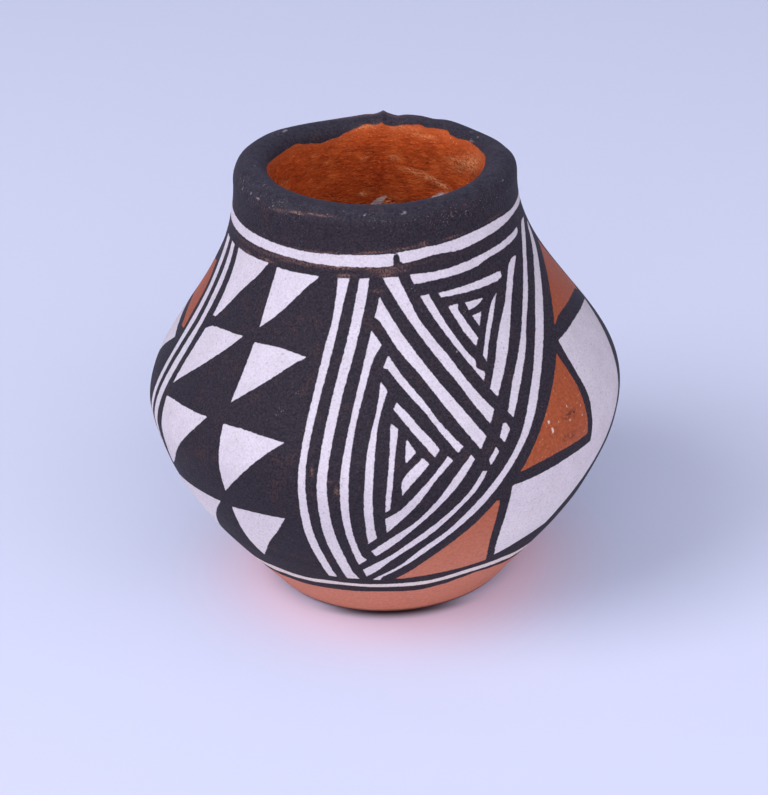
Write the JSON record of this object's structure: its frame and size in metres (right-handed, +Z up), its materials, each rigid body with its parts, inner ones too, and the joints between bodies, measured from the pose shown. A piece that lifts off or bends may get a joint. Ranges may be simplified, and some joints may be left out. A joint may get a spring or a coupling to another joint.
{
  "type": "clay pot",
  "caption": "Small coil-built clay pot with a pressed base dish, a round belly, a narrow neck and a thick rounded lip, painted in slip outside",
  "frame": {"origin": "middle of the foot, on the surface that the pot stands on", "axes": "+Z up through the middle of the mouth, +Y away from the camera of the picture, +X to its right"},
  "size_m": [0.07, 0.07, 0.0666],
  "materials": {
    "orange_slip": "low-fired clay under a thin orange slip, matte with a faint rubbed sheen",
    "painted_white_slip": "low-fired clay under white slip with brushed black and orange paint, matte",
    "black_paint": "low-fired clay under black-brown mineral paint, matte and a little dusty"
  },
  "bodies": {
    "root": {"base_dish": "orange_slip", "wall_coil_1": "painted_white_slip", "wall_coil_2": "painted_white_slip", "wall_coil_3": "painted_white_slip", "wall_coil_4": "painted_white_slip", "wall_coil_5": "painted_white_slip", "wall_coil_6": "painted_white_slip", "rim_coil": "black_paint"}
  },
  "joints": []
}
